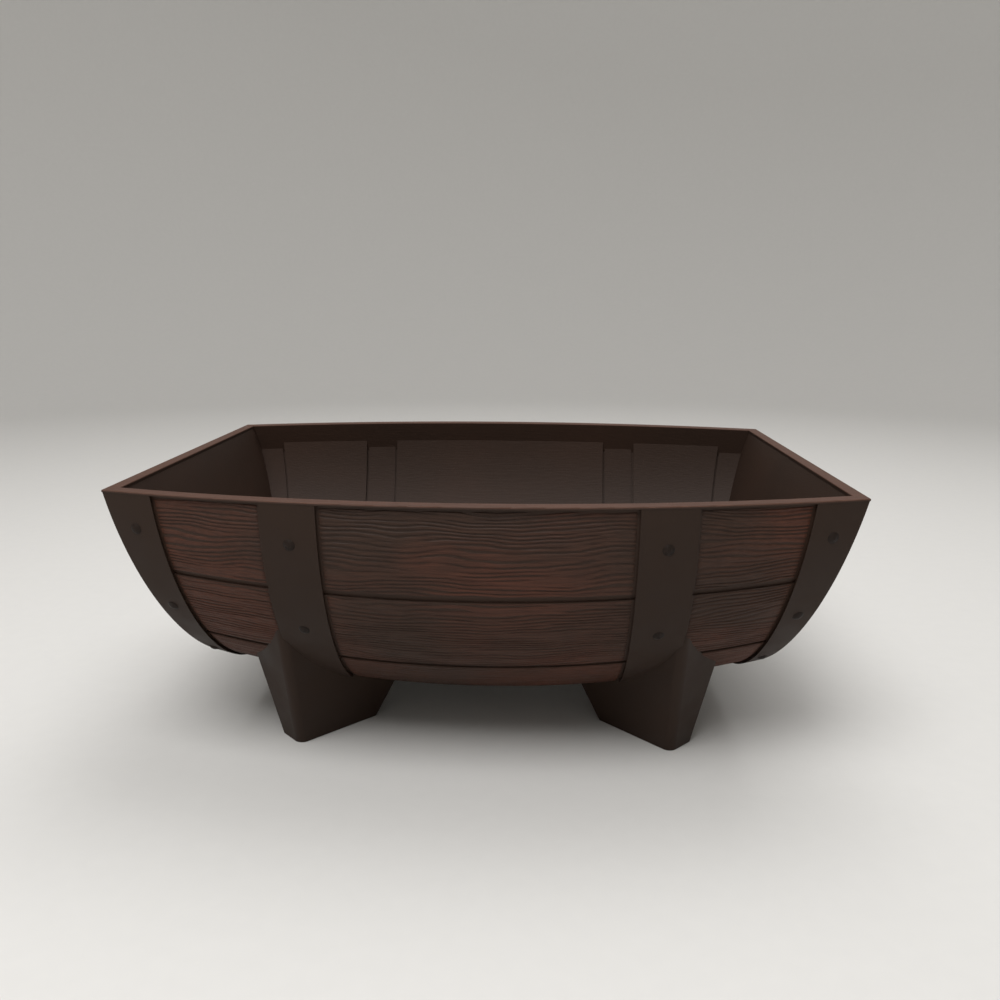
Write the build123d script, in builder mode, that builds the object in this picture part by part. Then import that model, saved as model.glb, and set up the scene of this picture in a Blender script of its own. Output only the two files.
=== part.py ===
from build123d import *
import os
from math import cos, radians, sin, sqrt

os.makedirs("parts", exist_ok=True)

# Half barrel planter, lying on its side and cut open along its axis.
# X runs along the barrel, the front is -Y, and Z = 0 is the ground under the feet.

# Overall size, mm
rim_length = 610
height = 248
belly_radius = 228.6
head_radius = 183.6

# Slopes, as sideways travel for each millimetre of height
end_slope = 0.275
end_inside_slope = 0.245
end_hoop_edge_slope = 0.125

# Radial steps of the moulding, measured inwards from the outer face of the hoops
hoop_thickness = 1.6
stave_step = 3.2
recess_depth = 5.6
wall_depth = 8.0

# Rim
rim_overhang = 0.4
rim_thickness = 2.0
rim_width = 13
rim_end_width = 11
skirt_depth = 34
skirt_slope = 0.172
rim_edge_radius = 0.8

# Hoops, measured along X at the rim
inner_hoop_start = 123
inner_hoop_end = 168
end_hoop_width = 44
hoop_lip = 0.8
recess_inset = 4
recess_line_width = 2.6
recess_line_depth = 1.3

# Staves: the rim stave is narrower than the others, and the last groove is the keel
first_groove = 20.7
stave_pitch = 23.1
groove_angle = 1.3
groove_depth = 1.8
head_recess = 1.0
head_border = 15
head_groove_width = 3
head_groove_pitch = 62
head_grooves = 3

# Rivets, one to each stave
rivet_head_radius = 4.8
rivet_head_height = 2.0
rivet_shank_radius = 2.0
rivet_grip = 4.0
rivet_angles = [9.2, 32.2, 55.4, 78.4]
leg_covered_angle = 55.4

# Feet: slabs set at 45 degrees in plan, wider at the top
foot_corner_x = 168.5
foot_corner_y = 134.5
foot_length = 84
foot_thickness = 29
foot_loft_height = 150
face_draft = 0.24
end_draft = 0.24
inner_draft = 0.50
back_draft = 0.05
front_corner_radius = 8
corner_radius = 3.5
foot_wall = 5
foot_floor = 7
boss_radius = 8

# Screws that hold each foot, driven from inside the tub
screw_radius = 2.5
screw_length = 30
screw_head_radius = 6
screw_head_height = 3
spot_face_depth = 0.6
screw_places = [(159, 61.3), (137.7, 67.9)]

# Drain holes
drain_radius = 5
drain_x = 62
drain_y = 42

half_length = rim_length / 2
bulge = belly_radius - head_radius
arc_radius = (half_length**2 + bulge**2) / (2 * bulge)
arc_centre = belly_radius - arc_radius
barrel_axis = Axis((0, 0, height), (1, 0, 0))
rim_plane = Plane.XY.offset(height)
reach = 400


def radius_at(x):
    """Radius of the hoops' outer face at a place along the barrel."""
    return arc_centre + sqrt(arc_radius**2 - x**2)


def surface_plane(x, angle, depth=0.0):
    """Plane on the barrel at an angle below the front rim, facing outwards."""
    out_x = x / arc_radius
    out_r = sqrt(1 - out_x**2)
    r = radius_at(x)
    down = radians(angle)
    normal = Vector(out_x, -out_r * cos(down), -out_r * sin(down))
    point = Vector(x, -r * cos(down), height - r * sin(down)) - normal * depth
    return Plane(origin=point, x_dir=(1, 0, -out_x / max(out_r * sin(down), 0.1)), z_dir=normal)


def barrel(depth):
    """Half barrel whose skin lies this deep inside the hoops' outer face."""
    middle = belly_radius - depth
    end = head_radius - depth
    with BuildPart() as body:
        with BuildSketch(rim_plane) as profile:
            with BuildLine():
                ThreePointArc((-half_length, -end), (0, -middle), (half_length, -end))
                Polyline((half_length, -end), (half_length, 0), (-half_length, 0), (-half_length, -end))
            make_face()
        revolve(profile.sketch, axis=barrel_axis, revolution_arc=180)
    return body.part


def side_prism(corners):
    """Prism across the whole barrel, from a side view given as (x, depth below the rim)."""
    with BuildPart() as body:
        with BuildSketch(Plane.XZ) as side:
            with BuildLine():
                Polyline([(x, height - depth) for x, depth in corners], close=True)
            make_face()
        extrude(side.sketch, amount=reach, both=True)
    return body.part


def between_ends(inset, slope):
    """Everything between the two sloping ends, moved in by an inset at the rim."""
    top = half_length - inset
    bottom = top - slope * height
    return side_prism([(-top, 0), (top, 0), (bottom, height), (-bottom, height)])


def belt_zones(inset):
    """Zones of the four hoops, made narrower by an inset on each free edge."""
    first = inner_hoop_start + inset
    last = inner_hoop_end - inset
    edge = half_length - end_hoop_width + inset
    edge_low = edge - end_hoop_edge_slope * height
    inner = side_prism([(first, 0), (last, 0), (last, height), (first, height)])
    end = side_prism([(edge, 0), (reach, 0), (reach, height), (edge_low, height)])
    return [inner, end, inner.mirror(Plane.YZ), end.mirror(Plane.YZ)]


def rim_outline(side_offset, end_offset):
    """Outline of the rim in plan, moved in from the hoops' outer face."""
    x = half_length - end_offset
    end = radius_at(x) - side_offset
    middle = belly_radius - side_offset
    with BuildSketch() as outline:
        with BuildLine():
            ThreePointArc((-x, -end), (0, -middle), (x, -end))
            Line((x, -end), (x, end))
            ThreePointArc((x, end), (0, middle), (-x, end))
            Line((-x, end), (-x, -end))
        make_face()
    return outline.sketch


# The planting space, with shallow recesses behind the hoops and a skirt under the rim
recess_wide = skirt_depth * skirt_slope
with BuildPart() as throat:
    with BuildSketch(rim_plane):
        add(rim_outline(rim_width, rim_end_width))
    with BuildSketch(rim_plane.offset(-skirt_depth)):
        add(rim_outline(rim_width - recess_wide, rim_end_width - recess_wide))
    loft(ruled=True)
    with Locations((0, 0, height - skirt_depth)):
        Box(2 * reach, 2 * reach, height, align=(Align.CENTER, Align.CENTER, Align.MAX))

with BuildPart() as recess_lines:
    add(barrel(recess_depth - recess_line_depth))
    with BuildPart(mode=Mode.INTERSECT):
        for zone in belt_zones(recess_inset):
            add(zone)
    for zone in belt_zones(recess_inset + recess_line_width):
        add(zone, mode=Mode.SUBTRACT)

with BuildPart() as planting_space:
    add(barrel(recess_depth))
    with BuildPart(mode=Mode.INTERSECT):
        for zone in belt_zones(recess_inset):
            add(zone)
    add(recess_lines.part)
    add(barrel(wall_depth))
    add(between_ends(rim_end_width - 1.5, end_inside_slope), mode=Mode.INTERSECT)
    add(throat.part, mode=Mode.INTERSECT)

# Grooves between the staves
groove_angles = [first_groove + stave_pitch * step for step in range(4)]
groove_angles += [180 - angle for angle in groove_angles[:3]]
groove_bottom = stave_step + groove_depth


def stave_groove(angle):
    """Thin wedge along the barrel that cuts one groove."""
    start = radians(angle - groove_angle / 2)
    tilted = Plane(origin=(0, 0, height), x_dir=(1, 0, 0), z_dir=(0, -sin(start), cos(start)))
    with BuildPart() as wedge:
        with BuildSketch(tilted) as profile:
            with BuildLine():
                ThreePointArc(
                    (-half_length, groove_bottom - head_radius),
                    (0, groove_bottom - belly_radius),
                    (half_length, groove_bottom - head_radius),
                )
                Polyline(
                    (half_length, groove_bottom - head_radius),
                    (half_length, -belly_radius),
                    (-half_length, -belly_radius),
                    (-half_length, groove_bottom - head_radius),
                )
            make_face()
        revolve(profile.sketch, axis=barrel_axis, revolution_arc=groove_angle)
    return wedge.part


# Fixings, placed on the front right quarter and mirrored to the others
def mirrored(pieces, plane):
    """The mirror images of some pieces."""
    return [piece.mirror(plane) for piece in pieces]


def quarters(pieces):
    """The same pieces in all four quarters of the planter."""
    right = pieces + mirrored(pieces, Plane.XZ)
    return right + mirrored(right, Plane.YZ)


def rivet(x, angle):
    """Low domed rivet with a shank that ends inside the tub's wall."""
    dome_radius = (rivet_head_radius**2 + rivet_head_height**2) / (2 * rivet_head_height)
    with BuildPart() as fixing:
        with BuildSketch(Plane.XZ) as profile:
            with BuildLine():
                Polyline((0, -rivet_grip), (rivet_shank_radius, -rivet_grip), (rivet_shank_radius, 0),
                         (rivet_head_radius, 0))
                RadiusArc((rivet_head_radius, 0), (0, rivet_head_height), -dome_radius)
                Line((0, rivet_head_height), (0, -rivet_grip))
            make_face()
        revolve(profile.sketch, axis=Axis.Z)
    return surface_plane(x, angle).location * fixing.part


def end_hoop_middle(angle):
    """Place along X of the middle of an end hoop at an angle below the rim."""
    x = half_length - end_hoop_width / 2
    for _ in range(6):
        depth = radius_at(x) * sin(radians(angle))
        outer = half_length - end_slope * depth
        inner = half_length - end_hoop_width - end_hoop_edge_slope * depth
        x = (outer + inner) / 2
    return x


def screw(x, angle, space=0.0):
    """Pan head screw driven outwards through the wall, or the room it needs."""
    seat = surface_plane(x, angle, recess_depth - spot_face_depth)
    with BuildPart() as fixing:
        Cylinder(screw_radius, screw_length, align=(Align.CENTER, Align.CENTER, Align.MIN))
        with Locations((0, 0, -screw_head_height - space)):
            Cylinder(screw_head_radius, screw_head_height + space,
                     align=(Align.CENTER, Align.CENTER, Align.MIN))
        if space == 0:
            fillet(fixing.faces().sort_by(Axis.Z)[0].edges(), screw_head_height * 0.5)
    return seat.location * fixing.part


inner_hoop_middle = (inner_hoop_start + inner_hoop_end) / 2
inner_rivets = [rivet(inner_hoop_middle, angle) for angle in rivet_angles if angle != leg_covered_angle]
end_rivets = [rivet(end_hoop_middle(angle), angle) for angle in rivet_angles]
foot_screws = [screw(x, angle) for x, angle in screw_places]
screw_room = [screw(x, angle, space=12) for x, angle in screw_places]

# Outside of the right head: boards set back inside a border
board_grooves = [head_groove_pitch * step for step in range(1, head_grooves + 1)]


def head_slab(top, bottom, depth):
    """Slab just inside the right end face, between two levels below the rim."""
    top_x = half_length - end_slope * top
    bottom_x = half_length - end_slope * bottom
    return side_prism([(top_x + depth, top), (top_x - depth, top), (bottom_x - depth, bottom),
                       (bottom_x + depth, bottom)])


with BuildPart() as head_relief:
    add(head_slab(head_border, height, head_recess))
    for level in board_grooves:
        add(head_slab(level, level + head_groove_width, 2 * head_recess))
    add(barrel(head_border), mode=Mode.INTERSECT)

# Tub: staves, hoop seats, ends and rim in one moulding
with BuildPart() as tub:
    add(barrel(stave_step))
    for angle in groove_angles:
        add(stave_groove(angle), mode=Mode.SUBTRACT)
    with BuildPart(mode=Mode.ADD):
        add(barrel(hoop_thickness))
        with BuildPart(mode=Mode.INTERSECT):
            for zone in belt_zones(hoop_lip):
                add(zone)
    add(between_ends(0, end_slope), mode=Mode.INTERSECT)
    with BuildSketch(rim_plane):
        add(rim_outline(-rim_overhang, 0))
    extrude(amount=-rim_thickness)
    add(planting_space.part, mode=Mode.SUBTRACT)
    add(head_relief.part, mode=Mode.SUBTRACT)
    add(head_relief.part.mirror(Plane.YZ), mode=Mode.SUBTRACT)
    rim_edges = tub.edges().filter_by_position(Axis.Z, height - 0.01, height + 0.01)
    fillet(rim_edges, rim_edge_radius)
    with Locations(*[(x, y, 0) for x in (-drain_x, drain_x) for y in (-drain_y, drain_y)]):
        Cylinder(drain_radius, height / 2, align=(Align.CENTER, Align.CENTER, Align.MIN), mode=Mode.SUBTRACT)
    for piece in quarters(inner_rivets + end_rivets + screw_room):
        add(piece, mode=Mode.SUBTRACT)
tub.part.label = "tub"
export_step(tub.part, "parts/tub.step")


# Hoops, from the rim around to the rim
def hoop(zone, fixings):
    """Band around the half barrel inside one zone, with holes for its fixings."""
    with BuildPart() as band:
        add(barrel(0))
        add(barrel(hoop_thickness), mode=Mode.SUBTRACT)
        add(zone, mode=Mode.INTERSECT)
        add(between_ends(0, end_slope), mode=Mode.INTERSECT)
        with Locations((0, 0, height - rim_thickness)):
            Box(2 * reach, 2 * reach, reach, align=(Align.CENTER, Align.CENTER, Align.MIN),
                mode=Mode.SUBTRACT)
        for piece in fixings + mirrored(fixings, Plane.XZ):
            add(piece, mode=Mode.SUBTRACT)
    return band.part


def export_sides(pieces, name):
    """Export pieces of the right side as one part, and their mirror images for the left side."""
    for side, solids in (("right", pieces), ("left", mirrored(pieces, Plane.YZ))):
        part = Compound(children=solids) if len(solids) > 1 else solids[0]
        part.label = name.replace("SIDE", side)
        export_step(part, f"parts/{part.label}.step")


inner_zone, end_zone = belt_zones(0)[:2]
export_sides([hoop(inner_zone, inner_rivets + foot_screws)], "hoop_SIDE_inner")
export_sides([hoop(end_zone, end_rivets)], "hoop_SIDE_end")
export_sides(inner_rivets + mirrored(inner_rivets, Plane.XZ), "rivets_SIDE_inner")
export_sides(end_rivets + mirrored(end_rivets, Plane.XZ), "rivets_SIDE_end")

# Feet
foot_plane = Plane(origin=(foot_corner_x, -foot_corner_y, 0), x_dir=(-1, 1, 0), z_dir=(0, 0, 1))


def foot_outline(level, inset):
    """Outline of the front right foot at a level above the ground, moved inwards by an inset."""
    front = inset - end_draft * level
    inner = foot_length + inner_draft * level - inset
    back = inset - foot_thickness - back_draft * level
    face = face_draft * level - inset
    with BuildSketch(foot_plane.offset(level)) as outline:
        with Locations(((front + inner) / 2, (back + face) / 2)):
            Rectangle(inner - front, face - back)
        if inset == 0:
            corners = outline.vertices().sort_by_distance((front, face))
            fillet(corners[0], front_corner_radius)
            fillet(corners[1:], corner_radius)
    return outline.sketch


def foot_body(bottom, inset):
    """Tapering body of a foot from a level up into the barrel."""
    with BuildPart() as body:
        add(foot_outline(bottom, inset))
        add(foot_outline(foot_loft_height, inset))
        loft(ruled=True)
    return body.part


with BuildPart() as barrel_outside:
    add(barrel(0))
    with BuildPart(mode=Mode.INTERSECT):
        for zone in belt_zones(0):
            add(zone)
    add(barrel(stave_step))

with BuildPart() as bosses:
    for x, angle in screw_places:
        with BuildPart(surface_plane(x, angle, wall_depth)):
            Cylinder(boss_radius, foot_length, align=(Align.CENTER, Align.CENTER, Align.MIN))
    add(foot_body(0, 0), mode=Mode.INTERSECT)

with BuildPart() as foot:
    add(foot_body(0, 0))
    add(foot_body(foot_floor, foot_wall), mode=Mode.SUBTRACT)
    add(bosses.part)
    add(barrel_outside.part, mode=Mode.SUBTRACT)
    for piece in foot_screws:
        add(piece, mode=Mode.SUBTRACT)

export_sides([foot.part], "leg_front_SIDE")
export_sides(mirrored([foot.part], Plane.XZ), "leg_rear_SIDE")
export_sides(foot_screws, "screws_front_SIDE")
export_sides(mirrored(foot_screws, Plane.XZ), "screws_rear_SIDE")
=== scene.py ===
from math import cos, pi, radians, sin

import bpy
from mathutils import Matrix, Vector


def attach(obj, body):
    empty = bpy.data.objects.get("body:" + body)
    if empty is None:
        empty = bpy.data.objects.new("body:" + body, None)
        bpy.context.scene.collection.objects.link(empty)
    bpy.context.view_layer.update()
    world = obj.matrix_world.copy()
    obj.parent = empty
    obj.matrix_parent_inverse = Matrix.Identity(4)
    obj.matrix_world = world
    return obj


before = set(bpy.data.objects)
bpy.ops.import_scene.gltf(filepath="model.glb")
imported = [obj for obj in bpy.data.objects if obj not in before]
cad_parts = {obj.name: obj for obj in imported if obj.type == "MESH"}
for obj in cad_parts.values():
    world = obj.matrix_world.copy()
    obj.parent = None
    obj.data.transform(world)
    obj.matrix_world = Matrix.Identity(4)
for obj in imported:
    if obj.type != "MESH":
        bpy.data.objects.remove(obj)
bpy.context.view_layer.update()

# The half barrel planter in metres: X along the barrel, the front is -Y, the ground is Z = 0.


# Shape of the barrel, as in the solids
HEIGHT = 0.248
BELLY_RADIUS = 0.2286
HEAD_RADIUS = 0.1836
HALF_LENGTH = 0.305
STAVE_STEP = 0.0032
INNER_HOOP_START = 0.123
INNER_HOOP_END = 0.168
END_HOOP_WIDTH = 0.044
END_HOOP_EDGE = HALF_LENGTH - END_HOOP_WIDTH
END_HOOP_SLOPE = 0.125

# Radius of the staves beside the end hoops, at the bottom
END_RADIUS = 0.199
BULGE = BELLY_RADIUS - HEAD_RADIUS
ARC_RADIUS = (HALF_LENGTH**2 + BULGE**2) / (2 * BULGE)
ARC_CENTRE = BELLY_RADIUS - ARC_RADIUS

# Staves, counted from the front rim round to the rear rim, in degrees
FIRST_GROOVE = 20.7
STAVE_PITCH = 23.1
FRONT_GROOVES = 4
RIM_GAP = 0.9

# Width of a groove between staves, and how far down the rim's top gets a painted highlight
GROOVE_WIDTH = 0.0046
RIM_HIGHLIGHT_DEPTH = 0.0012

# Boards of the heads, as levels below the rim
END_SLOPE = 0.275
HEAD_RECESS = 0.001
HEAD_BORDER = 0.015
HEAD_BOARDS = ((0.015, 0.062), (0.065, 0.124), (0.127, 0.183))
HEAD_GRAIN_LIFT = 0.0004

# Wood grain moulded into the staves
GRAIN_LIFT = 0.0007
GRAIN_EDGE_FALL = 0.0016
GRAIN_EDGE_DROP = 0.0017
GRAIN_ROW = 0.0005
GRAIN_COLUMN = 0.003
COARSE_SPACING = 0.0041
COARSE_DEPTH = 0.0014
FINE_SPACING = 0.0028
FINE_DEPTH = 0.0005
COARSE_STAVES = (1, 2, 7, 8)

# How the grain lines wander and fade: noise per metre along and across them, and metres of wander
LONG_WANDER = (6.0, 12.0, 0.045)
SHORT_WANDER = (22.0, 60.0, 0.006)
FADING = (11.0, 120.0)
FADED_BELOW = -0.16
FULL_ABOVE = 0.10
FADED_SHARE = 0.15
LINE_SHARPNESS = 2.2

# Camera, as fitted to the photograph
CAMERA_PLACE = (0.0425, -0.862, 0.4008)
CAMERA_DOWN = 0.228
CAMERA_TURN = 0.039
CAMERA_ROLL = 0.003
CAMERA_LENS = 31.68
CAMERA_SENSOR = 36.0

# Stage: a round floor that curves up into a wall all the way round
FLOOR_LEVEL = -0.0003
FLOOR_RADIUS = 2.6
WALL_CURVE = 1.4
WALL_TOP = 2.6
CURVE_STEPS = 12
ROUND_STEPS = 96

# Point that the lights are aimed at
LIGHT_AIM = (0.0, 0.0, 0.15)


# Short forms for building node trees
def link(tree, value, socket):
    """Connect an output to a socket, or set the socket to a plain value."""
    if isinstance(value, bpy.types.NodeSocket):
        tree.links.new(value, socket)
    else:
        socket.default_value = value


def maths(tree, operation, *values):
    """A Math node, with outputs or numbers as its inputs."""
    node = tree.nodes.new("ShaderNodeMath")
    node.operation = operation
    for value, socket in zip(values, node.inputs):
        link(tree, value, socket)
    return node.outputs[0]


def blend(tree, low, high, share):
    """The number that lies at a share of the way from low to high."""
    return maths(tree, "MULTIPLY_ADD", maths(tree, "SUBTRACT", high, low), share, low)


def vector(tree, x, y, z):
    """A vector from three outputs or numbers."""
    node = tree.nodes.new("ShaderNodeCombineXYZ")
    for value, socket in zip((x, y, z), node.inputs):
        link(tree, value, socket)
    return node.outputs[0]


def parts_of(tree, value):
    """The X, Y and Z outputs of a vector."""
    node = tree.nodes.new("ShaderNodeSeparateXYZ")
    link(tree, value, node.inputs[0])
    return node.outputs[0], node.outputs[1], node.outputs[2]


def noise(tree, place, detail=2.0):
    """Cloudy noise from 0 to 1 at a place that is already scaled."""
    node = tree.nodes.new("ShaderNodeTexNoise")
    link(tree, place, node.inputs["Vector"])
    node.inputs["Scale"].default_value = 1.0
    node.inputs["Detail"].default_value = detail
    return node.outputs[0]


def ramp(tree, value, low, high):
    """A share from 0 to 1 as a value goes from low to high, eased at both ends."""
    node = tree.nodes.new("ShaderNodeMapRange")
    node.interpolation_type = "SMOOTHSTEP"
    link(tree, value, node.inputs["Value"])
    link(tree, low, node.inputs["From Min"])
    link(tree, high, node.inputs["From Max"])
    return node.outputs[0]


# Materials
def colour_mix(tree, share, first, second):
    """A colour at a share of the way from the first to the second."""
    # Inputs 6 and 7 and output 2 are the colour sockets of a mix
    node = tree.nodes.new("ShaderNodeMix")
    node.data_type = "RGBA"
    link(tree, share, node.inputs[0])
    for value, socket in ((first, node.inputs[6]), (second, node.inputs[7])):
        link(tree, value if isinstance(value, bpy.types.NodeSocket) else (*value, 1.0), socket)
    return node.outputs[2]


def shader_group(name, inputs):
    """An empty shader group with named numbers as its inputs and one share as its output."""
    tree = bpy.data.node_groups.new(name, "ShaderNodeTree")
    for label, value in inputs.items():
        socket = tree.interface.new_socket(label, in_out="INPUT", socket_type="NodeSocketFloat")
        socket.default_value = value
    tree.interface.new_socket("Share", in_out="OUTPUT", socket_type="NodeSocketFloat")
    result = tree.nodes.new("NodeGroupOutput").inputs["Share"]
    return tree, tree.nodes.new("NodeGroupInput").outputs, result


def build_fibre_group():
    """Fine fibres that run along the barrel, as a share for colour and for bump."""
    tree, given, result = shader_group("fibres", {"Along": 30.0, "Across": 700.0})
    place = tree.nodes.new("ShaderNodeTexCoord").outputs["Object"]
    x, y, z = parts_of(tree, place)
    stretched = vector(
        tree,
        maths(tree, "MULTIPLY", x, given["Along"]),
        maths(tree, "MULTIPLY", y, given["Across"]),
        maths(tree, "MULTIPLY", z, given["Across"]),
    )
    link(tree, ramp(tree, noise(tree, stretched, detail=3.0), 0.3, 0.7), result)
    return tree


def build_patch_group():
    """Soft patches, longer along the barrel than across it."""
    sizes = {"Along": 6.0, "Across": 9.0, "Middle": 0.5, "Edge": 0.16}
    tree, given, result = shader_group("patches", sizes)
    place = tree.nodes.new("ShaderNodeTexCoord").outputs["Object"]
    x, y, z = parts_of(tree, place)
    scaled = vector(
        tree,
        maths(tree, "MULTIPLY", x, given["Along"]),
        maths(tree, "MULTIPLY", y, given["Across"]),
        maths(tree, "MULTIPLY", z, given["Across"]),
    )
    low = maths(tree, "SUBTRACT", given["Middle"], given["Edge"])
    high = maths(tree, "ADD", given["Middle"], given["Edge"])
    link(tree, ramp(tree, noise(tree, scaled, detail=4.0), low, high), result)
    return tree


def build_speckle_group():
    """Fine even speckle of a moulded skin."""
    tree, given, result = shader_group("speckle", {"Scale": 1800.0})
    place = tree.nodes.new("ShaderNodeTexCoord").outputs["Object"]
    x, y, z = parts_of(tree, place)
    scaled = [maths(tree, "MULTIPLY", value, given["Scale"]) for value in (x, y, z)]
    link(tree, noise(tree, vector(tree, *scaled), detail=1.0), result)
    return tree


FIBRES = build_fibre_group()
PATCHES = build_patch_group()
SPECKLE = build_speckle_group()


def use_group(tree, group, **values):
    """A group's output, with some of its numbers set."""
    node = tree.nodes.new("ShaderNodeGroup")
    node.node_tree = group
    for label, value in values.items():
        node.inputs[label].default_value = value
    return node.outputs[0]


def new_material(name, roughness, specular):
    """A material with its shader and tree."""
    material = bpy.data.materials.new(name)
    material.use_nodes = True
    tree = material.node_tree
    shader = tree.nodes["Principled BSDF"]
    shader.inputs["Roughness"].default_value = roughness
    shader.inputs["Specular IOR Level"].default_value = specular
    return material, tree, shader


def bump(tree, shader, height, distance):
    """Small relief on a shader."""
    node = tree.nodes.new("ShaderNodeBump")
    node.inputs["Strength"].default_value = 1.0
    node.inputs["Distance"].default_value = distance
    tree.links.new(height, node.inputs["Height"])
    tree.links.new(node.outputs[0], shader.inputs["Normal"])


def stave_plastic(name, dark, warm, grain_and_shade_colour, relief):
    """Brown plastic moulded as wood: patches, fibres, darker grain lines and painted shade along the
    edges of each sheet.
    """
    material, tree, shader = new_material(name, 0.56, 0.22)
    patches = use_group(tree, PATCHES, Middle=0.56)
    fibres = use_group(tree, FIBRES)
    base = colour_mix(tree, patches, dark, warm)
    base = colour_mix(tree, maths(tree, "MULTIPLY", fibres, FIBRE_SHADE), base, grain_and_shade_colour)
    valley = tree.nodes.new("ShaderNodeAttribute")
    valley.attribute_name = "valley"
    # Grain lines darken in their own colour; the sheet's edges darken as painted shade in the grooves
    # and along the hoops
    grain_lines_and_edge_shade = maths(tree, "MULTIPLY", valley.outputs["Fac"], GRAIN_AND_EDGE_SHADE_SHARE)
    base = colour_mix(tree, grain_lines_and_edge_shade, base, grain_and_shade_colour)
    tree.links.new(base, shader.inputs["Base Color"])
    bump(tree, shader, fibres, relief)
    return material


def tub_skin(name, dark, light, rim_highlight_colour, relief):
    """Plain brown plastic inside and under the tub, with a painted highlight on top of the rim."""
    material, tree, shader = new_material(name, 0.58, 0.22)
    patches = use_group(tree, PATCHES)
    fibres = use_group(tree, FIBRES)
    base = colour_mix(tree, maths(tree, "MULTIPLY", patches, 0.5), dark, light)
    height = parts_of(tree, tree.nodes.new("ShaderNodeTexCoord").outputs["Object"])[2]
    # Painted highlight: the top of the rim is coloured lighter where light from above falls on it
    rim = ramp(tree, height, HEIGHT - RIM_HIGHLIGHT_DEPTH, HEIGHT - RIM_HIGHLIGHT_DEPTH / 2)
    rim_highlight = maths(tree, "MULTIPLY", rim, blend(tree, 0.55, 1.0, fibres))
    tree.links.new(colour_mix(tree, rim_highlight, base, rim_highlight_colour), shader.inputs["Base Color"])
    bump(tree, shader, fibres, relief)
    return material


def smooth_plastic(name, colour, worn, relief):
    """Smooth matte plastic with faint rubbed patches and a fine moulded skin."""
    material, tree, shader = new_material(name, 0.5, 0.17)
    patches = use_group(tree, PATCHES, Along=24.0, Across=24.0, Edge=0.2)
    speckle = use_group(tree, SPECKLE)
    share = maths(tree, "MULTIPLY", maths(tree, "ADD", patches, speckle), 0.35)
    tree.links.new(colour_mix(tree, share, colour, worn), shader.inputs["Base Color"])
    tree.links.new(blend(tree, 0.5, 0.64, patches), shader.inputs["Roughness"])
    bump(tree, shader, speckle, relief)
    return material


def zinc_plate(name, colour):
    """Plain zinc plated steel."""
    material, tree, shader = new_material(name, 0.62, 0.4)
    shader.inputs["Metallic"].default_value = 1.0
    speckle = use_group(tree, SPECKLE, Scale=900.0)
    darker = tuple(0.7 * value for value in colour)
    tree.links.new(colour_mix(tree, speckle, colour, darker), shader.inputs["Base Color"])
    return material


def pale_stage(name, colour):
    """Pale matte floor and backdrop."""
    material, tree, shader = new_material(name, 0.9, 0.1)
    speckle = use_group(tree, SPECKLE, Scale=60.0)
    lighter = tuple(min(1.0, 1.03 * value) for value in colour)
    tree.links.new(colour_mix(tree, speckle, colour, lighter), shader.inputs["Base Color"])
    return material


DARK_BROWN = (0.046, 0.0235, 0.0150)
RED_BROWN = (0.088, 0.031, 0.018)
# Darkest brown, for fibres and grain lines and for the painted shade at the edges of the grain sheets
GRAIN_AND_SHADE_BROWN = (0.012, 0.0065, 0.0045)
TUB_BROWN = (0.034, 0.0190, 0.0128)
# Lighter brown of the painted highlight on top of the rim
RIM_HIGHLIGHT_BROWN = (0.088, 0.040, 0.026)
HOOP_BROWN = (0.0250, 0.0140, 0.0092)
HOOP_WORN = (0.0340, 0.0200, 0.0135)
RIVET_BROWN = (0.0090, 0.0055, 0.0040)
SCREW_GREY = (0.22, 0.22, 0.21)
STAGE_GREY = (0.66, 0.65, 0.63)
# How far grain lines, and the painted shade at the grain sheets' edges, go towards the darkest brown
GRAIN_AND_EDGE_SHADE_SHARE = 0.6
FIBRE_SHADE = 0.35

grain_plastic = stave_plastic("stave_grain", DARK_BROWN, RED_BROWN, GRAIN_AND_SHADE_BROWN, 0.0002)
tub_plastic = tub_skin("tub_plastic", TUB_BROWN, DARK_BROWN, RIM_HIGHLIGHT_BROWN, 0.00006)
hoop_plastic = smooth_plastic("hoop_plastic", HOOP_BROWN, HOOP_WORN, 0.00004)
foot_plastic = smooth_plastic("foot_plastic", HOOP_BROWN, HOOP_WORN, 0.00004)
rivet_plastic = smooth_plastic("rivet_plastic", RIVET_BROWN, HOOP_BROWN, 0.00002)
screw_steel = zinc_plate("screw_steel", SCREW_GREY)

NODE_MATERIALS = {
    "tub": tub_plastic,
    "hoop": hoop_plastic,
    "leg": foot_plastic,
    "rivets": rivet_plastic,
    "screws": screw_steel,
}
for name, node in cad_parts.items():
    node.data.materials.clear()
    node.data.materials.append(NODE_MATERIALS[name.split("_")[0]])


# Wood grain as real relief over each stave and head board
def new_sheet_tree(name, numbers):
    """Tree that makes one grained sheet: its inputs, a grid and the shares across and along it."""
    tree = bpy.data.node_groups.new(name, "GeometryNodeTree")
    for label in (*numbers, "Line spacing", "Line depth", "Seed"):
        tree.interface.new_socket(label, in_out="INPUT", socket_type="NodeSocketFloat")
    for label in ("Columns", "Rows"):
        tree.interface.new_socket(label, in_out="INPUT", socket_type="NodeSocketInt")
    tree.interface.new_socket("Material", in_out="INPUT", socket_type="NodeSocketMaterial")
    tree.interface.new_socket("Geometry", in_out="OUTPUT", socket_type="NodeSocketGeometry")
    given = tree.nodes.new("NodeGroupInput").outputs
    grid = tree.nodes.new("GeometryNodeMeshGrid")
    grid.inputs["Size X"].default_value = 1.0
    grid.inputs["Size Y"].default_value = 1.0
    link(tree, given["Columns"], grid.inputs["Vertices X"])
    link(tree, given["Rows"], grid.inputs["Vertices Y"])
    grid_x, grid_y, _ = parts_of(tree, tree.nodes.new("GeometryNodeInputPosition").outputs[0])
    return tree, given, grid, maths(tree, "ADD", grid_x, 0.5), maths(tree, "ADD", grid_y, 0.5)


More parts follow.
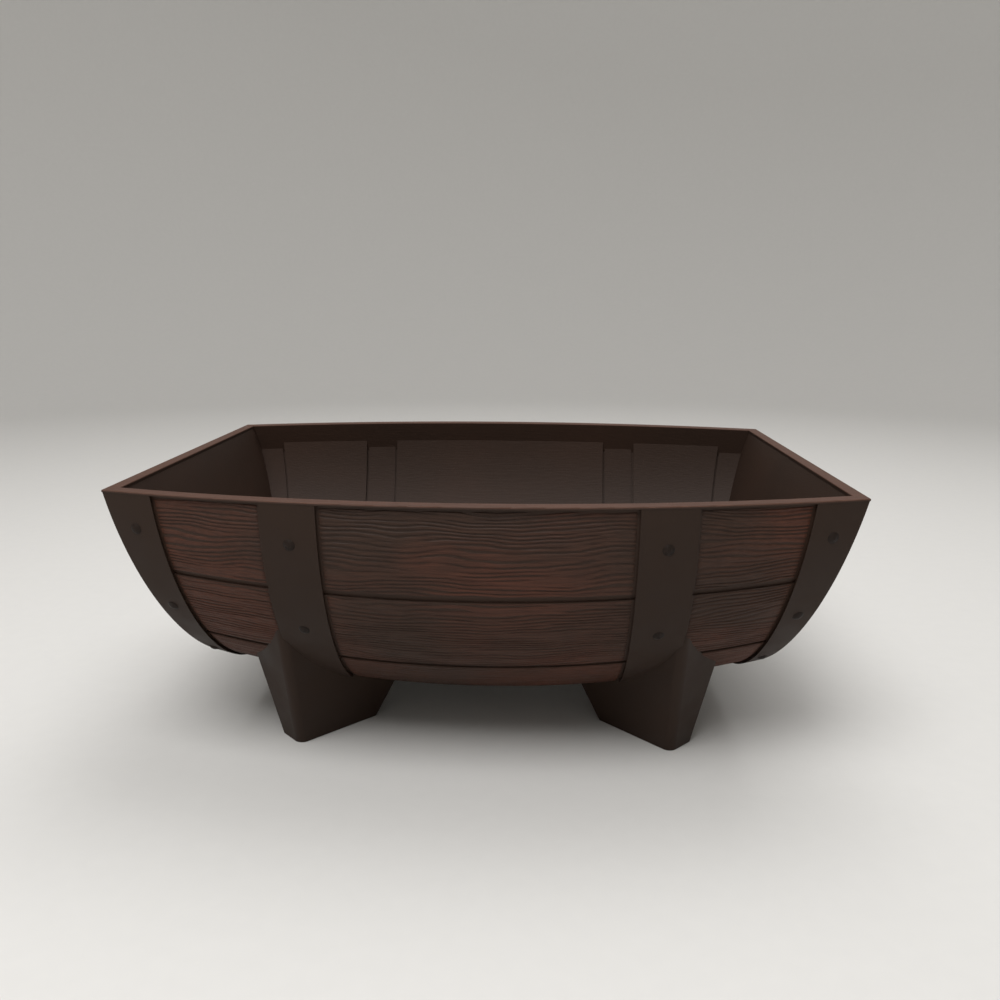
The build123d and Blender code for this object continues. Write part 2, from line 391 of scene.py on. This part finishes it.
def grain_valley(tree, given, along, across):
    """How deep a place lies in a grain line, from 0 to 1. The lines wander, fade and rejoin."""
    def cloud(along_scale, across_scale, shift):
        place = vector(
            tree,
            maths(tree, "MULTIPLY", along, along_scale),
            maths(tree, "MULTIPLY", across, across_scale),
            maths(tree, "ADD", given["Seed"], shift),
        )
        return maths(tree, "SUBTRACT", noise(tree, place), 0.5)

    wander = maths(tree, "MULTIPLY", cloud(*LONG_WANDER[:2], 0.0), LONG_WANDER[2])
    wander = maths(tree, "MULTIPLY_ADD", cloud(*SHORT_WANDER[:2], 7.3), SHORT_WANDER[2], wander)
    phase = maths(tree, "DIVIDE", maths(tree, "ADD", across, wander), given["Line spacing"])
    wave = maths(tree, "SINE", maths(tree, "MULTIPLY", phase, 2 * pi))
    line = maths(tree, "POWER", maths(tree, "MULTIPLY_ADD", wave, 0.5, 0.5), LINE_SHARPNESS)
    strength = ramp(tree, cloud(*FADING, 3.1), FADED_BELOW, FULL_ABOVE)
    return maths(tree, "MULTIPLY", line, blend(tree, FADED_SHARE, 1.0, strength))


def share_inside(tree, *edges):
    """0 at the nearest edge, rising to 1 past the width over which the sheet falls away."""
    nearest = edges[0]
    for edge in edges[1:]:
        nearest = maths(tree, "MINIMUM", nearest, edge)
    return ramp(tree, nearest, 0.0, GRAIN_EDGE_FALL)


def grain_relief(tree, given, valley, inside, lift):
    """Height of the sheet over the solid, with its edges below it."""
    relief = maths(tree, "SUBTRACT", lift, maths(tree, "MULTIPLY", valley, given["Line depth"]))
    return blend(tree, -GRAIN_EDGE_DROP, relief, inside)


def finish_sheet(tree, given, grid, place, valley, inside, flipped):
    """Move the grid to its place, keep how deep each point lies in a grain line, with the sheet's edges
    kept fully dark as painted shade, and set the material.
    """
    store = tree.nodes.new("GeometryNodeStoreNamedAttribute")
    store.data_type = "FLOAT"
    store.domain = "POINT"
    store.inputs["Name"].default_value = "valley"
    shade = maths(tree, "MULTIPLY", valley, maths(tree, "DIVIDE", given["Line depth"], COARSE_DEPTH))
    # Painted shade: the sheet's edges, along the grooves, hoops and head borders, count as fully dark
    shade = maths(tree, "MAXIMUM", shade, maths(tree, "SUBTRACT", 1.0, inside))
    link(tree, shade, store.inputs["Value"])
    link(tree, grid.outputs["Mesh"], store.inputs["Geometry"])
    move = tree.nodes.new("GeometryNodeSetPosition")
    link(tree, store.outputs[0], move.inputs["Geometry"])
    link(tree, place, move.inputs["Position"])
    steps = ["GeometryNodeFlipFaces"] if flipped else []
    steps += ["GeometryNodeSetShadeSmooth", "GeometryNodeRealizeInstances"]
    sheet = move.outputs[0]
    for step in steps:
        node = tree.nodes.new(step)
        link(tree, sheet, node.inputs[0])
        sheet = node.outputs[0]
    paint = tree.nodes.new("GeometryNodeSetMaterial")
    link(tree, sheet, paint.inputs["Geometry"])
    link(tree, given["Material"], paint.inputs["Material"])
    link(tree, paint.outputs[0], tree.nodes.new("NodeGroupOutput").inputs[0])


def radius_at(tree, x, inset):
    """Radius of the barrel at a place along it, moved in by an inset."""
    root = maths(tree, "SQRT", maths(tree, "SUBTRACT", ARC_RADIUS**2, maths(tree, "MULTIPLY", x, x)))
    return maths(tree, "ADD", root, ARC_CENTRE - inset)


def build_stave_tree():
    """Sheet over one stave between two hoops, with its edges tucked into the groove around it."""
    edges = ("Left edge", "Right edge", "Left slope", "Right slope", "First angle", "Last angle")
    tree, given, grid, across, around = new_sheet_tree("stave_grain", edges)
    angle = blend(tree, given["First angle"], given["Last angle"], around)
    below_rim = maths(tree, "MULTIPLY", maths(tree, "SINE", angle), END_RADIUS)
    left_shift = maths(tree, "MULTIPLY", given["Left slope"], below_rim)
    right_shift = maths(tree, "MULTIPLY", given["Right slope"], below_rim)
    left = maths(tree, "SUBTRACT", given["Left edge"], left_shift)
    right = maths(tree, "SUBTRACT", given["Right edge"], right_shift)
    x = blend(tree, left, right, across)
    face_radius = radius_at(tree, x, STAVE_STEP)
    valley = grain_valley(tree, given, x, maths(tree, "MULTIPLY", angle, BELLY_RADIUS))
    inside = share_inside(
        tree,
        maths(tree, "SUBTRACT", x, left),
        maths(tree, "SUBTRACT", right, x),
        maths(tree, "MULTIPLY", face_radius, maths(tree, "SUBTRACT", angle, given["First angle"])),
        maths(tree, "MULTIPLY", face_radius, maths(tree, "SUBTRACT", given["Last angle"], angle)),
    )
    radius = maths(tree, "ADD", face_radius, grain_relief(tree, given, valley, inside, GRAIN_LIFT))
    forward = maths(tree, "MULTIPLY", maths(tree, "COSINE", angle), radius)
    down = maths(tree, "MULTIPLY", maths(tree, "SINE", angle), radius)
    place = vector(
        tree,
        x,
        maths(tree, "MULTIPLY", forward, -1.0),
        maths(tree, "SUBTRACT", HEIGHT, down),
    )
    finish_sheet(tree, given, grid, place, valley, inside, flipped=True)
    return tree


def build_head_tree():
    """Sheet over one board of a head, inside its border. Side is 1 on the right, -1 on the left."""
    edges = ("Side", "First depth", "Last depth")
    tree, given, grid, across, down_share = new_sheet_tree("head_grain", edges)
    depth = blend(tree, given["First depth"], given["Last depth"], down_share)
    face_x = maths(tree, "MULTIPLY_ADD", depth, -END_SLOPE, HALF_LENGTH - HEAD_RECESS)
    border = radius_at(tree, face_x, HEAD_BORDER)
    border_square = maths(tree, "MULTIPLY", border, border)
    room = maths(tree, "SUBTRACT", border_square, maths(tree, "MULTIPLY", depth, depth))
    half_width = maths(tree, "SQRT", maths(tree, "MAXIMUM", room, 0.0))
    y = maths(tree, "MULTIPLY", half_width, maths(tree, "MULTIPLY_ADD", across, 2.0, -1.0))
    valley = grain_valley(tree, given, y, depth)
    inside = share_inside(
        tree,
        maths(tree, "SUBTRACT", half_width, maths(tree, "ABSOLUTE", y)),
        maths(tree, "SUBTRACT", depth, given["First depth"]),
        maths(tree, "SUBTRACT", given["Last depth"], depth),
    )
    x = maths(tree, "ADD", face_x, grain_relief(tree, given, valley, inside, HEAD_GRAIN_LIFT))
    place = vector(
        tree,
        maths(tree, "MULTIPLY", x, given["Side"]),
        maths(tree, "MULTIPLY", y, maths(tree, "MULTIPLY", given["Side"], -1.0)),
        maths(tree, "SUBTRACT", HEIGHT, depth),
    )
    finish_sheet(tree, given, grid, place, valley, inside, flipped=False)
    return tree


def made_by_nodes(name, tree, values):
    """A plain mesh object from a Geometry Nodes tree with its inputs set."""
    carrier = bpy.data.objects.new(name + "_carrier", bpy.data.meshes.new(name + "_carrier"))
    bpy.context.scene.collection.objects.link(carrier)
    modifier = carrier.modifiers.new("nodes", "NODES")
    modifier.node_group = tree
    for item in tree.interface.items_tree:
        if item.in_out == "INPUT":
            modifier[item.identifier] = values[item.name]
    bpy.context.view_layer.update()
    evaluated = carrier.evaluated_get(bpy.context.evaluated_depsgraph_get())
    mesh = bpy.data.meshes.new_from_object(evaluated)
    bpy.data.objects.remove(carrier)
    piece = bpy.data.objects.new(name, mesh)
    bpy.context.scene.collection.objects.link(piece)
    return piece


def stave_bounds():
    """First and last angle of each stave, in radians. The last groove counted is the keel."""
    grooves = [FIRST_GROOVE + STAVE_PITCH * step for step in range(FRONT_GROOVES)]
    grooves += [180.0 - angle for angle in reversed(grooves[:-1])]
    edges = [RIM_GAP] + grooves + [180.0 - RIM_GAP]
    half_groove = GROOVE_WIDTH / 2 / BELLY_RADIUS
    for first, last in zip(edges, edges[1:]):
        start = radians(first) + (half_groove if first > RIM_GAP else 0.0)
        end = radians(last) - (half_groove if last < 180.0 - RIM_GAP else 0.0)
        yield start, end


GRAIN_ZONES = {
    "middle": (-INNER_HOOP_START, INNER_HOOP_START, 0.0, 0.0),
    "right": (INNER_HOOP_END, END_HOOP_EDGE, 0.0, END_HOOP_SLOPE),
    "left": (-END_HOOP_EDGE, -INNER_HOOP_END, -END_HOOP_SLOPE, 0.0),
}


def add_head_grain():
    """Grain over every board of both heads."""
    tree = build_head_tree()
    for side_name, side in (("right", 1.0), ("left", -1.0)):
        for number, (first, last) in enumerate(HEAD_BOARDS, start=1):
            piece = made_by_nodes(f"grain_head_{side_name}_{number}", tree, {
                "Side": side,
                "First depth": first,
                "Last depth": last,
                "Line spacing": FINE_SPACING,
                "Line depth": FINE_DEPTH,
                "Seed": 57.0 * number + 401.0 * side,
                "Columns": round(2 * HEAD_RADIUS / GRAIN_COLUMN) + 1,
                "Rows": round((last - first) / GRAIN_ROW) + 1,
                "Material": grain_plastic,
            })
            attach(piece, "root")


def add_stave_grain():
    """Grain over every stave in the three zones between the hoops."""
    tree = build_stave_tree()
    for zone_number, (zone, (left, right, left_slope, right_slope)) in enumerate(GRAIN_ZONES.items()):
        for number, (first, last) in enumerate(stave_bounds(), start=1):
            coarse = number in COARSE_STAVES
            piece = made_by_nodes(f"grain_{zone}_{number}", tree, {
                "Left edge": left,
                "Right edge": right,
                "Left slope": left_slope,
                "Right slope": right_slope,
                "First angle": first,
                "Last angle": last,
                "Line spacing": COARSE_SPACING if coarse else FINE_SPACING,
                "Line depth": COARSE_DEPTH if coarse else FINE_DEPTH,
                "Seed": 11.0 * number + 131.0 * zone_number,
                "Columns": round((right - left) / GRAIN_COLUMN) + 1,
                "Rows": round(BELLY_RADIUS * (last - first) / GRAIN_ROW) + 1,
                "Material": grain_plastic,
            })
            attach(piece, "root")


add_stave_grain()
add_head_grain()


# Camera, stage and light
def add_camera():
    """Camera at the photograph's viewpoint."""
    data = bpy.data.cameras.new("camera")
    data.lens = CAMERA_LENS
    data.sensor_width = CAMERA_SENSOR
    camera = bpy.data.objects.new("camera", data)
    bpy.context.scene.collection.objects.link(camera)
    turn = Matrix.Rotation(CAMERA_TURN, 4, "Z") @ Matrix.Rotation(pi / 2 - CAMERA_DOWN, 4, "X")
    camera.matrix_world = Matrix.Translation(CAMERA_PLACE) @ turn @ Matrix.Rotation(CAMERA_ROLL, 4, "Z")
    bpy.context.scene.camera = camera


def add_stage():
    """Pale round floor that curves up into a wall on all sides."""
    profile = [(0.0, 0.0), (FLOOR_RADIUS, 0.0)]
    for step in range(1, CURVE_STEPS + 1):
        turn = pi / 2 * step / CURVE_STEPS
        profile.append((FLOOR_RADIUS + WALL_CURVE * sin(turn), WALL_CURVE * (1 - cos(turn))))
    profile.append((FLOOR_RADIUS + WALL_CURVE, WALL_TOP))
    corners = []
    for radius, level in profile:
        for step in range(ROUND_STEPS):
            turn = 2 * pi * step / ROUND_STEPS
            corners.append((radius * cos(turn), radius * sin(turn), level + FLOOR_LEVEL))
    faces = []
    for ring in range(len(profile) - 1):
        for step in range(ROUND_STEPS):
            here = ring * ROUND_STEPS + step
            beside = ring * ROUND_STEPS + (step + 1) % ROUND_STEPS
            faces.append((here, here + ROUND_STEPS, beside + ROUND_STEPS, beside))
    mesh = bpy.data.meshes.new("stage")
    mesh.from_pydata(corners, [], faces)
    mesh.polygons.foreach_set("use_smooth", [True] * len(faces))
    mesh.materials.append(pale_stage("pale_stage", STAGE_GREY))
    stage = bpy.data.objects.new("stage", mesh)
    bpy.context.scene.collection.objects.link(stage)


def add_soft_light(name, place, size, power):
    """Large square light aimed at the planter."""
    data = bpy.data.lights.new(name, "AREA")
    data.size = size
    data.energy = power
    light = bpy.data.objects.new(name, data)
    light.location = place
    aim = Vector(LIGHT_AIM) - Vector(place)
    light.rotation_euler = aim.to_track_quat("-Z", "Y").to_euler()
    bpy.context.scene.collection.objects.link(light)


def add_world(strength):
    """Even pale light from all round."""
    world = bpy.data.worlds.new("world")
    world.use_nodes = True
    background = world.node_tree.nodes["Background"]
    background.inputs["Color"].default_value = (1.0, 0.98, 0.95, 1.0)
    background.inputs["Strength"].default_value = strength
    bpy.context.scene.world = world


add_camera()
add_stage()
add_soft_light("key_light", place=(-0.5, -1.3, 2.5), size=1.4, power=52.0)
add_soft_light("top_light", place=(0.4, 0.6, 2.4), size=1.6, power=26.0)
add_world(strength=0.38)
bpy.context.scene.view_settings.view_transform = "Standard"
